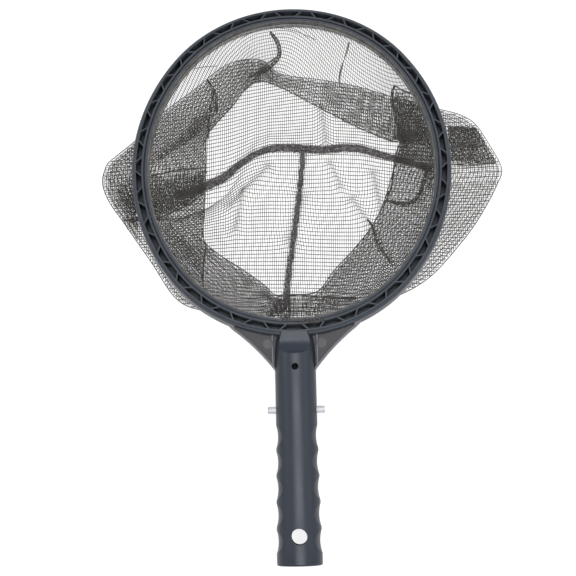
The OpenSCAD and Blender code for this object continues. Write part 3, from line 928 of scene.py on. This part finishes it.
    def build(self, material: Material, sewn: list[Piece]) -> list[Piece]:
        """Weave the bag and its folds.

        Args:
            material: The thread's finish.
            sewn: The hem and the seams; not used.

        Returns:
            The bag's pieces.
        """
        tube, folded = ThreadBundle(), ThreadBundle()
        self.tube(tube)
        self.floor(tube)
        self.fold_edges(folded)
        for ply in self.plies:
            self.lay_ply(folded, ply)
        for roll in self.rolls:
            self.lay_roll(folded, roll)
        pieces = [tube.build("net_mesh_tube", material), folded.build("net_mesh_folds", material)]
        for piece in pieces:
            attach(piece, "frame")
            log.info("%s: %d faces", piece.name, len(piece.data.polygons))
        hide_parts("net_wall", "net_bottom", "net_corner_left", "net_corner_right")
        return pieces


@dataclass
class MeshHem:
    """The doubled edge of the mesh that hangs inside the retaining ring."""

    round_mm: float = 700.0
    offsets: Pair = (-6.15, -6.75)
    top: float = -0.6
    depth: float = 7.6
    pitch: float = 1.3
    thread_r: float = 0.17
    rows: int = 5
    row_r: float = 0.23
    stitches: int = 175
    stitch_r: float = 0.24
    stitch_rise: float = 1.6

    def build(self, material: Material) -> Piece:
        """Weave both plies of the hem and the stitched line near its lower edge."""
        bundle = ThreadBundle()
        count = int(self.round_mm / self.pitch)
        foot = self.top - self.depth
        for ply, offset in enumerate(self.offsets):
            for x, y in OVAL.point((np.arange(count) + 0.5 * ply) / count, offset):
                bundle.add(PLACE.ring(np.array([[x, y, self.top], [x, y, foot]])), self.thread_r)
            loop = OVAL.point(np.linspace(0, 1, 241), offset)
            for level in np.linspace(self.top - 0.2, foot, self.rows):
                bundle.add(PLACE.ring(at_height(loop, level)), self.row_r)
        # Four points to a stitch, which goes up and down once.
        at = np.arange(4 * self.stitches + 1)
        loop = OVAL.point(at / at[-1], self.offsets[1] - 0.35)
        wave = foot + self.stitch_rise + 0.45 * np.sin(at * math.pi / 2)
        bundle.add(PLACE.ring(at_height(loop, wave)), self.stitch_r)
        piece = bundle.build("net_mesh_hem", material)
        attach(piece, "frame")
        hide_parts("net_hem")
        log.info("%s: %d faces", piece.name, len(piece.data.polygons))
        return piece


@dataclass
class SewnSeams:
    """The overlocked seams: flat braids of yarn with frayed edges, and a bunched end."""

    bottom: tuple[Triple, ...] = (
        (-86, -16, 5), (-74, -12, 6.5), (-62.5, -8, 7.5), (-49.5, -2, 7), (-38, 8.5, 5),
        (-27, 16, 5), (-16, 20, 5.5), (-2.5, 20.5, 6.2), (8.5, 19, 6.8), (22.5, 17.5, 6.4),
        (40, 19, 6.6), (52.5, 17.5, 6.2), (65.5, 12.5, 5.6), (76.5, 9, 5), (91, 4.5, 5),
        (103, -0.5, 4.6),
    )
    side: tuple[Triple, ...] = (
        (8.5, 16.5, 4.2), (7.5, 2.5, 3.8), (5, -17, 3.8), (2.5, -36, 3.9), (-0.5, -55.5, 4.1),
        (-2.5, -68, 4.3), (-4.5, -81.5, 4.4), (-6, -96.5, 5), (-6.5, -106, 5.6),
    )
    yarn_r: float = 0.42
    yarn_gap: float = 0.85
    stitch_r: float = 0.2
    stitch_gap: float = 1.9
    fray_r: float = 0.13
    fray_gap: float = 0.75
    end_loops: int = 38
    end_strands: int = 26
    end_frays: int = 46

    def tape(self, bundle: ThreadBundle, table: tuple, height: float, bumps: float,
             dice: np.random.RandomState) -> None:
        """Lay a braid of yarns, its crossing stitches and its frayed edges.

        Args:
            bundle: The threads to add to.
            table: Ground x and y of its middle, and its width, in millimetres.
            height: Height of its middle above the ground.
            bumps: How much the yarns wander.
            dice: The seeded source of small differences.
        """
        line = smooth_line(table, 1.0, 25)
        run = lengths(line[:, :2])
        side, half = sideways(line), line[:, 2] / 2
        yarns = int(round(line[:, 2].max() / self.yarn_gap))
        for k in range(yarns):
            place = (k + 0.5) / yarns * 2 - 1
            wander = bumps * np.sin(run / (1.5 + 0.13 * k) + 1.7 * k)
            wander = wander + 0.3 * bumps * dice.uniform(-1, 1, len(run))
            lift = height + 0.35 * math.cos(place * 1.4) + 0.18 * np.sin(run / 1.9 + 2.3 * k)
            out = side * ((half - 0.35) * place + wander)[:, None]
            bundle.add(PLACE.ground(at_height(line[:, :2] + out, lift)), self.yarn_r)
        share = np.linspace(-1, 1, 4)
        for at in np.arange(1.0, run[-1] - 1, self.stitch_gap):
            i = int(np.searchsorted(run, at))
            across = share[:, None] * (half[i] * 0.92)
            slant = line[min(i + 1, len(line) - 1), :2] - line[i - 1, :2]
            path = line[i, :2] + side[i] * across + slant * across * 0.12
            lift = height + 0.75 - 0.35 * share ** 2
            bundle.add(PLACE.ground(at_height(path, lift)), self.stitch_r)
        for sign in (-1, 1):
            for at in np.arange(0.5, run[-1] - 0.5, self.fray_gap):
                i = int(np.searchsorted(run, at))
                out = sign * side[i] * dice.uniform(0.5, 1.7)
                lean = np.array([-side[i][1], side[i][0]]) * dice.uniform(-0.9, 0.9)
                start = line[i, :2] + sign * side[i] * (half[i] - 0.3)
                tip = start + out + lean
                path = np.array([
                    [*start, height + 0.2],
                    [*((start + tip) / 2), height + dice.uniform(0, 0.4)],
                    [*tip, height + dice.uniform(-0.2, 0.5)],
                ])
                bundle.add(PLACE.ground(path), self.fray_r)

    def bunch(self, bundle: ThreadBundle, dice: np.random.RandomState) -> None:
        """Bunch the seam's end by the handle and fray it out over the retaining ring."""
        for _ in range(self.end_loops):
            x, y = dice.uniform(-19, -8), dice.uniform(-108, -97)
            x += 0.35 * (y + 108)
            size, turn, tilt = dice.uniform(1.0, 3.2), dice.uniform(0, 6.3), dice.uniform(-0.6, 0.6)
            a = np.linspace(0, dice.uniform(3.5, 6.5), 10) + turn
            path = np.column_stack([
                x + size * np.cos(a) * 0.7, y + size * np.sin(a) * 1.2,
                4.4 + 1.4 * np.sin(a * 0.7 + tilt) + dice.uniform(-0.8, 1.2),
            ])
            bundle.add(PLACE.ground(path), dice.uniform(0.28, 0.45))
        # Strands that climb from the mesh over the ring's inner edge.
        for _ in range(self.end_strands):
            x = dice.uniform(-9.5, -2.5)
            foot = np.array([x, dice.uniform(-117, -114), dice.uniform(-8, -5)])
            top = np.array([x + dice.uniform(-1.5, 1.5), dice.uniform(-122.5, -120),
                            dice.uniform(0, 0.7)])
            mid = (foot + top) / 2 + np.array([dice.uniform(-0.8, 0.8), 1.0, 2.2])
            path = smooth_line(np.array([foot, mid, top]), 1.2, 2)
            bundle.add(PLACE.ring(path), dice.uniform(0.22, 0.36))
        # Cut ends that lie over the ring beside them.
        for _ in range(self.end_frays):
            x = dice.uniform(2, 21)
            top = np.array([x, -121.0, dice.uniform(-0.1, 0.3)])
            tip = top + np.array([dice.uniform(-0.6, 0.6), -dice.uniform(1.4, 4.6),
                                  dice.uniform(-0.2, 0.3)])
            mid = (top + tip) / 2 + np.array([0, 0, 0.4])
            bundle.add(PLACE.ring(np.array([top, mid, tip])), 0.2)

    def build(self, material: Material) -> list[Piece]:
        """Sew the seams.

        Args:
            material: The yarn's finish.

        Returns:
            The seams' pieces.
        """
        pieces = []
        for name, node, sides, seed in (("overlock_bottom", "seam_bottom", 5, 3),
                                        ("overlock_side", "seam_side", 5, 5),
                                        ("overlock_end", "seam_end", 4, 8)):
            bundle, dice = ThreadBundle(sides), np.random.RandomState(seed)
            if node == "seam_bottom":
                self.tape(bundle, self.bottom, 1.5, 0.16, dice)
            elif node == "seam_side":
                self.tape(bundle, self.side, 1.7, 0.34, dice)
            else:
                self.bunch(bundle, dice)
            piece = bundle.build(name, material)
            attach(piece, "frame")
            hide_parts(node)
            log.info("%s: %d faces", name, len(piece.data.polygons))
            pieces.append(piece)
        return pieces


# ---- stage


def seen_directly(tree: Tree) -> Node:
    """Give 1 to camera rays and to those that gloss or a clear piece sends on, and 0 to others."""
    rays = add_node(tree, "LightPath").outputs
    seen = rays["Is Camera Ray"]
    for kind in ("Is Transmission Ray", "Is Glossy Ray"):
        seen = add_node(tree, "Math", {"operation": "MAXIMUM", 0: seen, 1: rays[kind]})
    return seen


@dataclass
class Stage:
    """Plain white ground, soft light and the camera."""

    ground_m: float = 2.4
    ground_drop_m: float = 0.0002
    ground_tone: tuple[float, float, float, float] = (0.45, 0.45, 0.455, 1)
    # How much the ground glows where it is seen, so that it is white there but takes shadow.
    ground_lift: float = 0.76
    world_level: float = 0.28
    white: tuple[float, float, float, float] = (1, 1, 1, 1)
    lens_mm: float = 78.07
    sensor_mm: float = 36.0
    turns: Triple = (-0.39254656, -0.03036365, 0.01636136)
    offset_mm: Triple = (2.158, 90.73, -897.6)
    # Each lamp's name, place and size in metres, and power in watts.
    lamps: tuple[tuple[str, Triple, float, float], ...] = (
        ("key", (0.1, -0.25, 1.5), 1.0, 20.0),
        ("left", (-1.3, 0.2, 0.9), 0.9, 4.5),
        ("right", (1.3, 0.1, 0.9), 0.9, 4.0),
    )

    def camera(self) -> None:
        """Make the camera from its turns and offset, which are those of the ring's axes."""
        data = bpy.data.cameras.new("camera")
        data.lens, data.sensor_width = self.lens_mm, self.sensor_mm
        data.clip_start, data.clip_end = 0.05, 50.0
        camera = new_object("camera", data)
        turn = Matrix.Identity(4)
        for angle, axis in zip(self.turns, "XYZ"):
            turn = turn @ Matrix.Rotation(angle, 4, axis)
        seen = Matrix.Translation(Vector(self.offset_mm) * MM) @ turn
        camera.matrix_world = PLACE.matrix() @ seen.inverted()
        bpy.context.scene.camera = camera

    def ground(self) -> None:
        """Lay the ground, white to the camera but still taking shadow."""
        bpy.ops.object.select_all(action="DESELECT")
        bpy.ops.mesh.primitive_plane_add(size=self.ground_m, location=(0, 0, -self.ground_drop_m))
        floor = bpy.context.object
        floor.name = "ground"
        material, tree = new_material("white_sweep")
        matt = add_node(tree, "BsdfDiffuse", {"Color": self.ground_tone})
        level = add_node(tree, "Math", {
            "operation": "MULTIPLY", 1: self.ground_lift, 0: seen_directly(tree),
        })
        lift = add_node(tree, "Emission", {"Color": self.white, "Strength": level})
        both = add_node(tree, "AddShader", {0: matt, 1: lift})
        add_node(tree, "OutputMaterial", {"Surface": both})
        floor.data.materials.append(material)

    def lamp(self, name: str, place: Triple, size: float, power: float) -> None:
        """Add a square soft lamp that faces the object."""
        data = bpy.data.lights.new(name, "AREA")
        data.size, data.energy = size, power
        lamp = new_object(name, data)
        lamp.location = place
        lamp.rotation_euler = (-Vector(place)).to_track_quat("-Z", "Y").to_euler()

    def world(self) -> None:
        """Light from all round, seen as plain white."""
        world = bpy.data.worlds.new("studio")
        bpy.context.scene.world = world
        world.use_nodes = True
        tree = world.node_tree
        tree.nodes.clear()
        level = add_node(tree, "MapRange", {
            "To Min": self.world_level, "To Max": 1.0, "Value": seen_directly(tree),
        })
        light = add_node(tree, "Background", {"Color": self.white, "Strength": level})
        add_node(tree, "OutputWorld", {"Surface": light})

    def build(self) -> None:
        """Set the stage."""
        self.camera()
        self.ground()
        self.world()
        for lamp in self.lamps:
            self.lamp(*lamp)
        bpy.context.scene.view_settings.view_transform = "Standard"


class Part(Enum):
    """CAD nodes that keep their shape, by finish."""

    RING = ("rim_frame", "net_retainer")
    HANDLE = ("handle",)
    GUSSETS = ("gusset_left", "gusset_right")
    CLIP = ("clip_bow", "clip_arm_left", "clip_arm_right")


def dress(part: Part, material: Material) -> None:
    """Give a part's CAD nodes a finish in all their slots."""
    for name in part.value:
        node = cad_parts[name]
        for slot in node.material_slots:
            slot.material = material
        log.info("%s: %s", name, material.name)


def main() -> None:
    """Build the stage, the finishes and the pieces in order."""
    logging.basicConfig(level=logging.INFO, format="%(name)s %(message)s")
    Stage().build()
    dress(Part.RING, RingPolypropylene().build())
    dress(Part.HANDLE, MouldedPolypropylene().build())
    dress(Part.GUSSETS, GussetPolypropylene().build())
    dress(Part.CLIP, NaturalNylon().build())
    thread = PolyesterThread().build()
    yarn = PolyesterThread("overlocked_seam_yarn", "#0b0a0b", "#928c8b", 1.3, (0.46, 0.74)).build()
    hem_thread = PolyesterThread("polyester_thread_hem", "#4f4e4d", "#848381").build()
    hem = MeshHem().build(hem_thread)
    seams = SewnSeams().build(yarn)
    MeshBag().build(thread, [hem, *seams])


if __name__ == "__main__":
    main()
